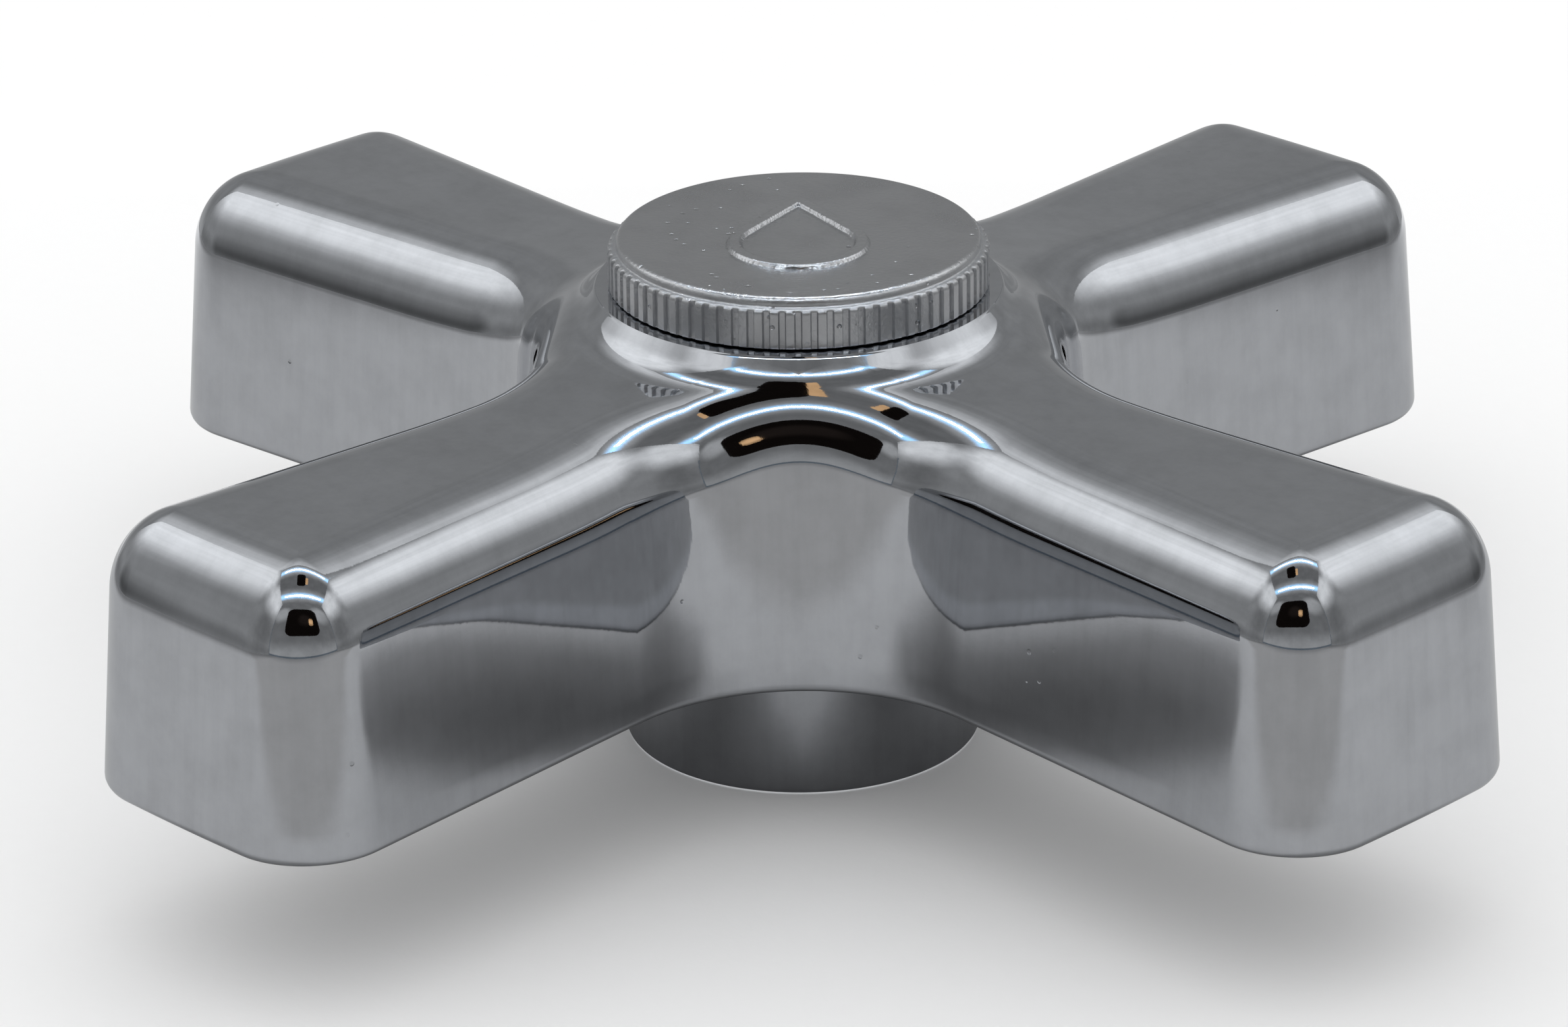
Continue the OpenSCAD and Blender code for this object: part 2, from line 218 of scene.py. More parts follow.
# Steps along half an arm's plan: tip face, tip corner, side, and the two parts of the web. The web's second
# part starts at WEB_COL. LAST_COL is in the middle of the web.
N_END, N_CORNER, N_SIDE, N_WEB1, N_WEB2 = 10, 26, 26, 10, 44
WEB_COL = N_END + N_CORNER + N_SIDE + N_WEB1
LAST_COL = WEB_COL + N_WEB2
# Steps up the edge profile and across the top.
N_LOW, N_WALL, N_TOP, N_RING, N_CHORD = 6, 8, 30, 36, 30
# Least corner radius an inset may leave, and width of the blend at the seat's edge.
LEAST_R = 0.04
SEAT_EDGE = 0.12
# Angles at which the rounding is tried against the top: first, last, in degrees, and how many.
ROLL_ANGLES = (4, 98, 190)
BORE_STEPS = 288
# Rounding where the skirt meets the arms, rounding of the skirt's edges, and chamfer of the holes' edges.
FOOT_R = 0.6
EDGE_R = 0.3
CHAMFER = 0.12


def half_plan(inset):
    """Plan points of a half arm's columns, moved inwards. inset is (columns, rows)."""
    i = np.arange(len(inset))[:, None]
    q = np.maximum(TIP_R - inset, LEAST_R)
    cx = TIP_X - inset - q
    cy = ROOT_HW + SLOPE * cx - (inset + q) / math.cos(SIDE_A)
    turn = math.pi / 2 + SIDE_A

    def corner(a):
        return cx + q * np.cos(a), cy + q * np.sin(a)

    def web(a):
        return WEB_C - (WEB_R + inset) * np.sin(a), WEB_C - (WEB_R + inset) * np.cos(a)

    end_x, end_y = TIP_X - inset, cy * (i / N_END)
    cor_x, cor_y = corner(turn * np.clip((i - N_END) / N_CORNER, 0, 1))
    t = np.clip((i - N_END - N_CORNER) / N_SIDE, 0, 1)
    (x0, y0), (x1, y1) = corner(turn), web(-SIDE_A)
    side_x, side_y = x0 + (x1 - x0) * t, y0 + (y1 - y0) * t
    k = i - N_END - N_CORNER - N_SIDE
    a = np.where(
        k <= N_WEB1,
        -SIDE_A + (WEB_SPLIT + SIDE_A) * k / N_WEB1,
        WEB_SPLIT + (math.pi / 4 - WEB_SPLIT) * (k - N_WEB1) / N_WEB2,
    )
    web_x, web_y = web(a)

    pick = [i < N_END, i < N_END + N_CORNER, i < N_END + N_CORNER + N_SIDE]
    x = np.select(pick, [end_x, cor_x, side_x], web_x)
    y = np.select(pick, [end_y, cor_y, side_y], web_y)
    near_tip = i <= N_END + N_CORNER
    x = x + np.where(near_tip, TIP_BULGE * np.maximum(0, 1 - (y / TIP_HW) ** 2), 0)
    return np.stack([x, y], -1)


def collar_z(r):
    """Height of the collar at a radius: seat, straight flank, concave foot and a shallow apron."""
    r0 = SEAT_R + COLLAR_H / math.tan(COLLAR_A)
    r1 = r0 + COLLAR_R * (math.sin(COLLAR_A) - math.sin(APRON_A))
    flank = SEAT_Z - (r - SEAT_R) * math.tan(COLLAR_A)
    s = np.clip(math.sin(COLLAR_A) - (r - r0) / COLLAR_R, math.sin(APRON_A), 1)
    foot = SEAT_Z - COLLAR_H - COLLAR_R * (np.sqrt(1 - s**2) - math.cos(COLLAR_A))
    apron = foot - np.maximum(r - r1, 0) * math.tan(APRON_A)
    z = np.where(r < r0, flank, apron)
    return -join(-z, np.full_like(z, -SEAT_Z), SEAT_EDGE)


def join(a, b, blend=BLEND):
    """Smooth union of two heights."""
    return np.maximum(a, b) + blend / 4 * (np.maximum(blend - np.abs(a - b), 0) / blend) ** 2


def top_z(xy):
    """Height of the arms' tops with the collar rising out of them."""
    return join(ARM_Z1 + 0 * xy[..., 0], collar_z(np.linalg.norm(xy, axis=-1)))


def knee(i):
    """Inset at which column i's rounding hands over to the collar."""
    return TOP_CD + (WEB_KNEE - TOP_CD) * (np.maximum(i - WEB_COL, 0) / N_WEB2) ** 2


def rolled(count):
    """Per column: inset and height of the rounding's centre and the angle where it meets the top."""
    a = np.radians(np.linspace(*ROLL_ANGLES))[None, :]
    cz = np.full((count, 1), TOP_CZ)
    for _ in range(3):
        cd = cz * math.tan(DRAFT) + TOP_R / math.cos(DRAFT)
        room = top_z(half_plan(cd - TOP_R * np.cos(a))) - ARM_Z0 - TOP_R * np.sin(a)
        best = np.argmin(room, 1)[:, None]
        cz = np.take_along_axis(room, best, 1)
    return cd, cz, a[0][best]


def edge_rows(stop, cd, cz):
    """Inset and height above the underside of the edge profile, per column, and the rounding's angle."""
    low = np.linspace(-math.pi / 2, DRAFT, N_LOW + 1)[None, :]
    low_d = np.broadcast_to(LOW_CD - LOW_R * np.cos(low), (len(stop), N_LOW + 1))
    low_z = np.broadcast_to(LOW_R + LOW_R * np.sin(low), (len(stop), N_LOW + 1))
    top = DRAFT + (stop - DRAFT) * np.linspace(0, 1, N_TOP + 1)[None, :]
    top_d, top_h = cd - TOP_R * np.cos(top), cz + TOP_R * np.sin(top)
    t = np.linspace(0, 1, N_WALL + 1)[None, 1:-1]
    mid_d = low_d[:, -1:] + (top_d[:, :1] - low_d[:, -1:]) * t
    mid_z = low_z[:, -1:] + (top_h[:, :1] - low_z[:, -1:]) * t
    turn = np.concatenate([np.full((len(stop), N_LOW + N_WALL), -1.0), top], 1)
    return np.concatenate([low_d, mid_d, top_d], 1), np.concatenate([low_z, mid_z, top_h], 1), turn


def arm_skin():
    """Walls and roundings of one arm: (columns, rows, 3), from one web centre to the next."""
    i = np.arange(LAST_COL + 1)[:, None]
    cd, cz, meet = rolled(LAST_COL + 1)
    stop = np.arccos(np.clip((cd - np.maximum(knee(i), cd - TOP_R)) / TOP_R, 0, 1))
    stop = np.where(i <= WEB_COL, math.pi / 2, stop)
    d, z, a = edge_rows(stop, cd, cz)
    xy = half_plan(d)
    z = np.where(a > meet, top_z(xy), z + ARM_Z0)
    upper = np.concatenate([xy, z[..., None]], -1)
    lower = upper[1:][::-1] * [1, -1, 1]
    return np.concatenate([lower, upper])


def hub_ring(arm):
    """Surface from the knees to the seat, for one arm: (points round, rows, 3)."""
    mid = len(arm) // 2
    lower, upper = arm[: mid - WEB_COL + 1, -1], arm[mid + WEB_COL :, -1]
    t = np.linspace(0, 1, N_CHORD + 1)[1:-1, None]
    chord = lower[-1] * (1 - t) + upper[0] * t
    start = np.concatenate([lower, chord, upper])[:, None, :2]
    end = start * SEAT_R / np.linalg.norm(start, axis=-1, keepdims=True)
    s = np.linspace(0, 1, N_RING + 1)[None, :, None]
    xy = start + (end - start) * s
    z = top_z(xy)
    z[:, -1] = SEAT_Z
    return np.concatenate([xy, z[..., None]], -1)


def core_loop(wall, r, z, n=10):
    """Rounded plan of the hollow under the +X arm at one height."""
    x0, x1 = CORE_X0 + wall - CORE_WALL, TIP_X - wall
    xs = np.array([x1 - r, x0 + r])
    y1, y0 = ROOT_HW + SLOPE * xs - (wall + r) / math.cos(SIDE_A)
    s = math.degrees(SIDE_A)
    pts = [
        arc(x1 - r, y1, r, 0, 90 + s, n),
        arc(x0 + r, y0, r, 90 + s, 180, n),
        arc(x0 + r, -y0, r, 180, 270 - s, n),
        arc(x1 - r, -y1, r, 270 - s, 360, n),
    ]
    xy = np.concatenate(pts)
    return np.concatenate([xy, np.full((len(xy), 1), z)], -1)


def thread_ridge(a, z, z_mid, r0, r1, w0, w1):
    """Radius added by a right-hand thread ridge of half width w0 at r0 and w1 at r1."""
    off = (z - z_mid - PITCH * a / (2 * np.pi)) / PITCH
    off = np.abs(off - np.round(off)) * PITCH
    return (r1 - r0) * np.clip((w0 - off) / (w0 - w1), 0, 1)


def fade(x, a, b, soft):
    """1 between a and b, falling to 0 over soft outside them."""
    return np.clip((x - a) / soft + 1, 0, 1) * np.clip((b - x) / soft + 1, 0, 1)


def casting():
    """Arms, hub, collar, skirt, bores and hollows as one skin."""
    skin = Skin()
    arm = arm_skin()
    mid = len(arm) // 2
    rim, seat, holes = [], [], []
    across = np.linspace(0, 1, N_CHORD + 1)[None, :, None]
    for q in range(4):
        pts = rotated(arm, q)
        ids = skin.grid(pts)
        rim += ids[:-1, 0].tolist()
        left, right = pts[mid : mid + WEB_COL + 1, -1], pts[mid - WEB_COL : mid + 1, -1][::-1]
        flat = left[:, None] * (1 - across) + right[:, None] * across
        flat[:, 1:-1, 2] = top_z(flat[:, 1:-1, :2])
        skin.grid(flat, flip=True)
        hub = skin.grid(rotated(hub_ring(arm), q))
        seat += hub[:-1, -1].tolist()
        holes.append(core_walls(skin, q))
    ids = skin.grid(threaded_bore(), wrap=True)
    skin.fill([rim] + holes + [ids[:, 0].tolist()], flip=True)
    skin.fill([seat, ids[:, -1].tolist()])
    return skin.build("cast_handle")


def threaded_bore():
    """Grid of the skirt and all bores, with the cap's thread cut into the wall above the web."""
    bore = revolve(bore_profile(), BORE_STEPS)
    a = np.linspace(0, 2 * np.pi, BORE_STEPS, endpoint=False)[:, None]
    z = bore[..., 2]
    wall = (np.linalg.norm(bore[..., :2], axis=-1) < BORE_R + 0.01) & (z > WEB_Z + 0.5) & (z < GROOVE_Z)
    start = THREAD_Z - 2 * PITCH
    cut = thread_ridge(a, z, start, BORE_R, THREAD_GAP_R, *CUT_HALF_WIDTHS)
    cut = cut * fade(z, start, GROOVE_Z, 0.3) * wall
    bore[..., 0] += cut * np.cos(a)
    bore[..., 1] += cut * np.sin(a)
    return bore


def core_walls(skin, q):
    """The hollow under one arm: lip, slightly tapered wall, rounded roof. Returns the loop at its mouth."""
    inner = CORE_WALL + CORE_TAPER
    roof_z = ARM_Z0 + CORE_H - CORE_ROOF_R
    rows = []
    for t in np.linspace(0, math.pi / 2, 5):
        rows.append((CORE_WALL - CORE_LIP * (1 - math.sin(t)), ARM_Z0 + CORE_LIP * (1 - math.cos(t))))
    rows.append((inner, roof_z))
    for t in np.linspace(0, math.pi / 2, 9)[1:]:
        rows.append((inner + CORE_ROOF_R * (1 - math.cos(t)), roof_z + CORE_ROOF_R * math.sin(t)))
    loops = [core_loop(w, max(CORE_CORNER_R + CORE_WALL - w, CORE_LEAST_R), z) for w, z in rows]
    ids = skin.grid(rotated(np.stack(loops, 1), q), wrap=True, flip=True)
    skin.fill([ids[:, -1].tolist()], flip=True)
    return ids[:, 0].tolist()


def bore_profile():
    """Radius and height from the arms' underside, down the skirt and up inside to the seat."""
    rows = [arc(SKIRT_R + FOOT_R, ARM_Z0 - FOOT_R, FOOT_R, 90, 180, 6)]
    rows.append([(SKIRT_R, z) for z in np.linspace(ARM_Z0 - 1.0, 0.6, 6)])
    rows.append(arc(SKIRT_R - EDGE_R, EDGE_R, EDGE_R, 0, -90, 6))
    rows.append(arc(RECESS_R + EDGE_R, EDGE_R, EDGE_R, -90, -180, 6))
    rows.append([(RECESS_R, 1.5), (RECESS_R, 2.8)])
    rows.append(arc(RECESS_R - EDGE_R, RECESS_H - EDGE_R, EDGE_R, 0, 90, 5))
    rows.append([(INSERT_R + CHAMFER, RECESS_H), (INSERT_R, RECESS_H + CHAMFER)])
    rows.append([(INSERT_R, INSERT_TOP), (SCREW_HOLE, INSERT_TOP), (SCREW_HOLE, WEB_Z - 0.1)])
    rows.append([(SCREW_HOLE + 0.1, WEB_Z), (BORE_R - 0.2, WEB_Z), (BORE_R, WEB_Z + 0.2)])
    rows.append([(BORE_R, z) for z in np.linspace(WEB_Z + 0.6, GROOVE_Z - 0.01, 76)])
    rows.append([(BORE_R + 0.65, GROOVE_Z), (GROOVE_R - 0.1, GROOVE_Z), (GROOVE_R, GROOVE_Z + 0.1)])
    rows.append([(GROOVE_R, SEAT_Z - CHAMFER), (GROOVE_R + CHAMFER, SEAT_Z)])
    return np.concatenate([np.asarray(r, float) for r in rows])


# --- knurled index cap -------------------------------------------------------------------------

# Rim: height of its lower face over the seat, its own height, radius over the knurl, and the roundings of
# its lower and upper edges.
CAP_GAP = 0.15
RIM_Z = SEAT_Z + CAP_GAP
RIM_H = 1.82
RIM_TOP = RIM_Z + RIM_H
CAP_R = 8.8
RIM_LOW_R = 0.14
RIM_TOP_R = 0.26
# Knurl: ridges, steps round each, depth of the grooves.
KNURL_N = 76
KNURL_STEPS = 12
KNURL_D = 0.15
# Raised disc: radius, height, rounding at its foot and at its edge, height of its dome.
DISC_R = 8.42
DISC_H = 0.45
DISC_FOOT_R = 0.1
BEAD_R = 0.34
DOME_H = 0.03
# Threaded spigot: outer and inner radius, length below the rim, and the plain neck above its thread.
SPIGOT_R = 5.8
SPIGOT_IN = 4.9
SPIGOT_H = 4.05
NECK_R = 6.35
NECK_H = 1.0
THREAD_R = 6.4
THREAD_Z = RIM_Z - SPIGOT_H + 0.4
THREAD_H = 2.2
# Raised drop outline: radius of its round end, distance of its tip, line width, height and centre.
DROP_R, DROP_TIP, DROP_W, DROP_H = 2.93, 5.6, 0.72, 0.19
DROP_C = np.array([0.0, -1.5])
DROP_TURN = math.radians(45)


def drop_distance(x, y):
    """Distance from the outline of a water drop: a circle with two tangents that meet at its tip."""
    c, s = math.cos(-DROP_TURN), math.sin(-DROP_TURN)
    px, py = np.abs(c * x - s * y - DROP_C[0]), s * x + c * y - DROP_C[1]
    half = math.asin(DROP_R / DROP_TIP)
    tx, ty = DROP_R * math.cos(half), DROP_R * math.sin(half)
    length = math.hypot(tx, DROP_TIP - ty)
    ux, uy = -tx / length, (DROP_TIP - ty) / length
    t = np.clip((px - tx) * ux + (py - ty) * uy, 0, length)
    line = np.hypot(px - tx - t * ux, py - ty - t * uy)
    rim = np.abs(np.hypot(px, py) - DROP_R)
    on_round = np.arctan2(py, px) <= half
    return np.where(on_round, np.minimum(rim, line), line)


def cap_outer_profile():
    """Radius, height and knurl weight, from the spigot's end out and over to the disc's edge."""
    z0 = RIM_Z - SPIGOT_H
    rows = [[(SPIGOT_IN, z0 + 0.1, 0), (SPIGOT_IN + 0.1, z0, 0), (SPIGOT_R - 0.15, z0, 0)]]
    rows.append([(SPIGOT_R, z, 0) for z in np.linspace(z0 + 0.15, RIM_Z - NECK_H, 60)])
    rows.append([(NECK_R - 0.05, RIM_Z - 0.95, 0), (NECK_R, RIM_Z - 0.9, 0), (NECK_R, RIM_Z - 0.1, 0)])
    rows.append([(NECK_R + 0.1, RIM_Z, 0), (7.4, RIM_Z, 0), (8.3, RIM_Z, 0), (8.45, RIM_Z - 0.07, 0)])
    low = arc(CAP_R - RIM_LOW_R, RIM_Z + 0.06, RIM_LOW_R, -80, 0, 6)
    rows.append([(r, z, w) for (r, z), w in zip(low, np.linspace(0.2, 1, 7))])
    rows.append([(CAP_R, z, 1) for z in np.linspace(RIM_Z + 0.3, RIM_TOP - 0.34, 5)])
    top = arc(CAP_R - RIM_TOP_R, RIM_TOP - RIM_TOP_R, RIM_TOP_R, 0, 80, 7)
    rows.append([(r, z, w) for (r, z), w in zip(top, np.linspace(1, 0.1, 8))])
    step = arc(DISC_R + DISC_FOOT_R, RIM_TOP + DISC_FOOT_R, DISC_FOOT_R, -90, -180, 3)
    rows.append([(r, z, 0) for r, z in step])
    bead = arc(DISC_R - BEAD_R, RIM_TOP + DISC_H - BEAD_R, BEAD_R, 0, 90, 9)
    rows.append([(r, z, 0) for r, z in bead])
    return np.concatenate([np.asarray(r, float) for r in rows])


def disc_top(count, r_edge, z_edge):
    """Face of the cap inside its rounded edge: slightly domed, with the raised drop line."""
    r = np.concatenate([np.linspace(r_edge, 6.2, 12, endpoint=False), np.linspace(6.2, 0.05, 110)])
    a = np.linspace(0, 2 * np.pi, count, endpoint=False)[:, None]
    x, y = r * np.cos(a), r * np.sin(a)
    dome = DOME_H * (1 - (r / r_edge) ** 2)
    near = np.clip(drop_distance(x, y) / (DROP_W / 2), 0, 1)
    bead = DROP_H * np.clip(1.45 * (1 - near**3), 0, 1)
    return np.stack([x, y, z_edge + dome + bead], -1)


def index_cap():
    """Spigot with its thread, knurled rim, raised disc and the closed bore inside, as one skin."""
    skin = Skin()
    count = KNURL_N * KNURL_STEPS
    prof = cap_outer_profile()
    a = np.linspace(0, 2 * np.pi, count, endpoint=False)[:, None]
    u = (a / (2 * np.pi) * KNURL_N) % 1.0
    groove = np.clip((0.25 - np.abs(u - 0.5)) * KNURL_STEPS, 0, 1)
    r = prof[None, :, 0] - KNURL_D * prof[None, :, 2] * groove
    z = np.broadcast_to(prof[None, :, 1], r.shape)
    thread = (prof[None, :, 0] == SPIGOT_R) & (z < RIM_Z - NECK_H)
    ridge = thread_ridge(a, z, THREAD_Z, SPIGOT_R, THREAD_R, *RIDGE_HALF_WIDTHS)
    r = r + ridge * thread * fade(z, THREAD_Z, THREAD_Z + THREAD_H, 0.35)
    skin.grid(np.stack([r * np.cos(a), r * np.sin(a), z], -1), wrap=True)
    face = disc_top(count, prof[-1, 0], prof[-1, 1])
    ids = skin.grid(face, wrap=True)
    skin.faces.append(ids[:, -1].tolist())
    inner = [(SPIGOT_IN, RIM_Z - SPIGOT_H + 0.1), (SPIGOT_IN, RIM_Z + 0.1), (SPIGOT_IN - 0.2, RIM_Z + 0.3)]
    ids = skin.grid(revolve(inner + [(0.3, RIM_Z + 0.3)], count), wrap=True, flip=True)
    skin.faces.append(ids[::-1, -1].tolist())
    return skin.build("knurled_cap", angle=50)


# --- materials ---------------------------------------------------------------------------------


class Graph:
    """Small helper to write a node material as nested calls."""

    def __init__(self, name):
        self.mat = bpy.data.materials.new(name)
        self.mat.use_nodes = True
        self.tree = self.mat.node_tree
        self.shader = self.tree.nodes["Principled BSDF"]
        self.place = self.node("ShaderNodeTexCoord").outputs["Object"]

    def node(self, kind, inputs=None, **settings):
        n = self.tree.nodes.new(kind)
        for key, value in settings.items():
            setattr(n, key, value)
        for key, value in (inputs or {}).items():
            self.put(n.inputs[key], value)
        return n

    def put(self, socket, value):
        if isinstance(value, bpy.types.NodeSocket):
            self.tree.links.new(value, socket)
        else:
            socket.default_value = value

    def math(self, kind, a, b=0.0, c=0.0):
        return self.node("ShaderNodeMath", {0: a, 1: b, 2: c}, operation=kind).outputs[0]

    def stretched(self, scale, turn=0.0):
        inputs = {"Vector": self.place, "Scale": scale, "Rotation": (0, 0, turn)}
        return self.node("ShaderNodeMapping", inputs).outputs[0]

    def noise(self, scale, detail=3.0, where=None, rough=0.55):
        inputs = {"Vector": where or self.place, "Scale": scale, "Detail": detail, "Roughness": rough}
        return self.node("ShaderNodeTexNoise", inputs).outputs[0]

    def pits(self, scale, size):
        """1 inside scattered round pits, 0 outside."""
        inputs = {"Vector": self.place, "Scale": scale, "Randomness": 1.0}
        cell = self.node("ShaderNodeTexVoronoi", inputs).outputs["Distance"]
        return self.ramp(cell, size, size * 0.5)

    def ramp(self, value, lo, hi, out_lo=0.0, out_hi=1.0):
        inputs = {"Value": value, "From Min": lo, "From Max": hi, "To Min": out_lo, "To Max": out_hi}
        return self.node("ShaderNodeMapRange", inputs, interpolation_type="SMOOTHSTEP").outputs[0]

    def blend(self, factor, a, b):
        """Colour between a and b, each an (r, g, b) or another node's output."""
        n = self.node("ShaderNodeMix", data_type="RGBA")
        self.put(n.inputs[0], factor)
        for socket, colour in ((n.inputs[6], a), (n.inputs[7], b)):
            self.put(socket, (*colour, 1) if isinstance(colour, tuple) else colour)
        return n.outputs[2]

    def bump(self, height, distance, strength=1.0, below=None):
        inputs = {"Height": height, "Distance": distance, "Strength": strength}
        if below is not None:
            inputs["Normal"] = below
        return self.node("ShaderNodeBump", inputs).outputs[0]

    def shine(self, light):
        """Makes the surface give off light instead of taking it."""
        self.tree.links.new(light.outputs[0], self.tree.nodes["Material Output"].inputs[0])
        return self.mat

    def finish(self, colour, rough, normal, metal=1.0):
        self.put(self.shader.inputs["Base Color"], colour)
        self.put(self.shader.inputs["Roughness"], rough)
        self.put(self.shader.inputs["Normal"], normal)
        self.put(self.shader.inputs["Metallic"], metal)
        return self.mat


def polished(name, bright, dull, rough, wave=3.5e-5):
    """Buffed plating: a clear mirror with long waves, buffing lines, a few pits and faint smears."""
    g = Graph(name)
    long_wave = g.noise(70, 1.0)
    lines = g.noise(1.0, 4.0, g.stretched((260, 5200, 900), 0.6))
    drawn = g.noise(1.0, 5.0, g.stretched((1500, 1500, 70)), 0.6)
    cloud = g.noise(420, 5.0, rough=0.65)
    smear = g.ramp(g.noise(95, 5.0, rough=0.65), 0.53, 0.78)
    pit = g.math("MULTIPLY", g.pits(620, 0.09), g.ramp(g.noise(160), 0.55, 0.7))
    film = g.math("MULTIPLY_ADD", smear, 0.3, g.ramp(cloud, 0.3, 0.75, 0.0, 0.6))
    film = g.math("ADD", film, g.ramp(drawn, 0.35, 0.75, 0.0, 0.32))
    tone = g.blend(film, bright, dull)
    r = g.math("MULTIPLY_ADD", smear, 0.06, rough)
    r = g.math("MULTIPLY_ADD", lines, 0.02, r)
    r = g.math("MULTIPLY_ADD", pit, 0.25, r)
    n = g.bump(long_wave, wave)
    n = g.bump(cloud, 1.2e-6, below=n)
    n = g.bump(drawn, 8e-7, below=n)
    n = g.bump(lines, 6e-7, below=n)
    n = g.bump(pit, -1.2e-5, below=n)
    return g.finish(g.blend(pit, tone, dull), r, n)


def grainy(name, bright, dull, rough, grain, scale, lines=0.0, worn_r=0.0):
    """Metal with a fine grain: plating over a rougher surface, turned brass or blasted steel.

    Beyond worn_r from the stem axis it is rougher, as a knurled rim is that hands turn.
    """
    g = Graph(name)
    fine = g.noise(scale, 4.0)
    patch = g.ramp(g.noise(180, 4.0), 0.42, 0.72)
    pit = g.math("MULTIPLY", g.pits(scale * 0.35, 0.2), g.ramp(g.noise(260), 0.5, 0.62))
    tone = g.blend(g.math("MULTIPLY", patch, 0.5), bright, dull)
    tone = g.blend(g.math("MULTIPLY", pit, 0.7), tone, dull)
    r = g.math("MULTIPLY_ADD", patch, 0.1, rough)
    r = g.math("MULTIPLY_ADD", fine, 0.12, r)
    if worn_r:
        out = g.node("ShaderNodeVectorMath", {0: g.stretched((1, 1, 0))}, operation="LENGTH")
        r = g.math("ADD", r, g.ramp(out.outputs["Value"], worn_r, worn_r + 1e-4, 0.0, 0.16))
    n = g.bump(fine, grain)
    n = g.bump(pit, -2.5 * grain, below=n)
    if lines:
        ring = g.node("ShaderNodeTexWave", {"Scale": lines, "Distortion": 0.6, "Vector": g.place},
                      wave_type="RINGS", rings_direction="Z").outputs[1]
        n = g.bump(ring, grain, 0.5, below=n)
    return g.finish(tone, r, n)


def rubber_material():
    g = Graph("rubber_ring")
    fine = g.noise(3200, 3.0)
    dust = g.ramp(g.noise(420, 4.0), 0.5, 0.8)
    tone = g.blend(dust, (0.018, 0.018, 0.019), (0.06, 0.058, 0.055))
    r = g.math("MULTIPLY_ADD", fine, 0.2, 0.42)
    return g.finish(tone, r, g.bump(fine, 8e-6), 0.0)


def paint(obj, mat):
    obj.data.materials.clear()
    obj.data.materials.append(mat)


handle = casting()
cap = index_cap()
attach(handle, "handle")
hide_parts("handle_body")
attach(cap, "cap")
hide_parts("index_cap")

chrome = polished("chrome_plate", (0.545, 0.56, 0.588), (0.455, 0.468, 0.49), 0.025)
cap_chrome = grainy("cap_plate", (0.56, 0.568, 0.583), (0.36, 0.36, 0.365), 0.14, 3.5e-5, 4300,
                    worn_r=0.0083)
brass = grainy("turned_brass", (0.72, 0.54, 0.25), (0.42, 0.30, 0.14), 0.2, 3e-6, 1500, 400)
zinc = grainy("zinc_steel", (0.60, 0.61, 0.62), (0.40, 0.41, 0.44), 0.24, 3e-6, 1800)
spring = grainy("spring_steel", (0.34, 0.34, 0.36), (0.20, 0.19, 0.18), 0.3, 4e-6, 1400)
paint(handle, chrome)
paint(cap, cap_chrome)
paint(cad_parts["broach_insert"], brass)
paint(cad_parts["handle_screw"], zinc)
paint(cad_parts["flat_washer"], zinc)
paint(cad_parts["lock_washer"], spring)
paint(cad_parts["cap_ring"], rubber_material())

# --- camera ------------------------------------------------------------------------------------
# Where the photographer stood: azimuth and height of the line of sight, then the small turns of the
# camera about it.
LENS = 146.66
CAM_DISTANCE = 0.29737
CAM_TARGET = Vector((0, 0, 0.015653))
CAM_AZ, CAM_EL = math.radians(45.258), math.radians(22.114)
CAM_ROLL, CAM_PAN, CAM_TILT = (math.radians(v) for v in (0.619, -0.154, 0.896))


def camera():
    data = bpy.data.cameras.new("camera")
    data.sensor_width = 36
    data.lens = LENS
    data.clip_start, data.clip_end = 0.01, 10
    obj = bpy.data.objects.new("camera", data)
    bpy.context.scene.collection.objects.link(obj)
    level = math.cos(CAM_EL)
    back = Vector((math.sin(CAM_AZ) * level, -math.cos(CAM_AZ) * level, math.sin(CAM_EL)))
    right = (-back).cross(Vector((0, 0, 1))).normalized()
    turn = Matrix.Rotation(CAM_ROLL, 3, "Z") @ Matrix.Rotation(CAM_TILT, 3, "X")
    turn = turn @ Matrix.Rotation(CAM_PAN, 3, "Y")
    axes = turn @ Matrix((right, right.cross(-back), back))
    place = Matrix.Translation(CAM_TARGET + back * CAM_DISTANCE)
    obj.matrix_world = place @ axes.transposed().to_4x4()
    bpy.context.scene.camera = obj


camera()

# --- photo tent, floor and light ----------------------------------------------------------------
# The part stands in a small photo tent: pale walls, two rows of lamps under the roof, a dark door
# the camera looks through and a dark hole in the roof. Only the metal's reflections see the tent.
# Room axes: forward towards the camera, side to its right, up. Metres.
FWD = Vector((math.sin(CAM_AZ), -math.cos(CAM_AZ), 0))
SIDE = Vector((math.cos(CAM_AZ), math.sin(CAM_AZ), 0))
UP = Vector((0, 0, 1))
ROOF, FRONT, BACK, WALL = 0.223, 0.139, -0.091, 0.118
LAMP_ROWS = {"front_lamps": 0.096, "back_lamps": -0.055}
LAMP_REACH = 0.096
LAMP_HALF_WIDTH = 0.0035
LAMP_SPACING = 0.0042
# How far a panel stands off the one behind it, and the steps round a panel's corner.
STAND_OFF = 0.001
CORNER_STEPS = 8
SEAM_H = 0.0045
EDGE_W = 0.0022
FLOOR_HALF = 1.5
PALE = (0.985, 0.995, 1.0)
WARM = (1.0, 0.61, 0.31)
HALO_TINT = (0.18, 0.56, 1.0)


def banded(g, level, bands):
    """A level raised in bands (v, reach, gain) across the panel's second axis."""
    height = g.node("ShaderNodeSeparateXYZ", {0: g.place}).outputs[1]
    for v, reach, gain in bands:
        far = g.math("ABSOLUTE", g.math("SUBTRACT", height, v))
        level = g.math("ADD", level, g.ramp(far, reach, 0.0, 0.0, gain))
    return level


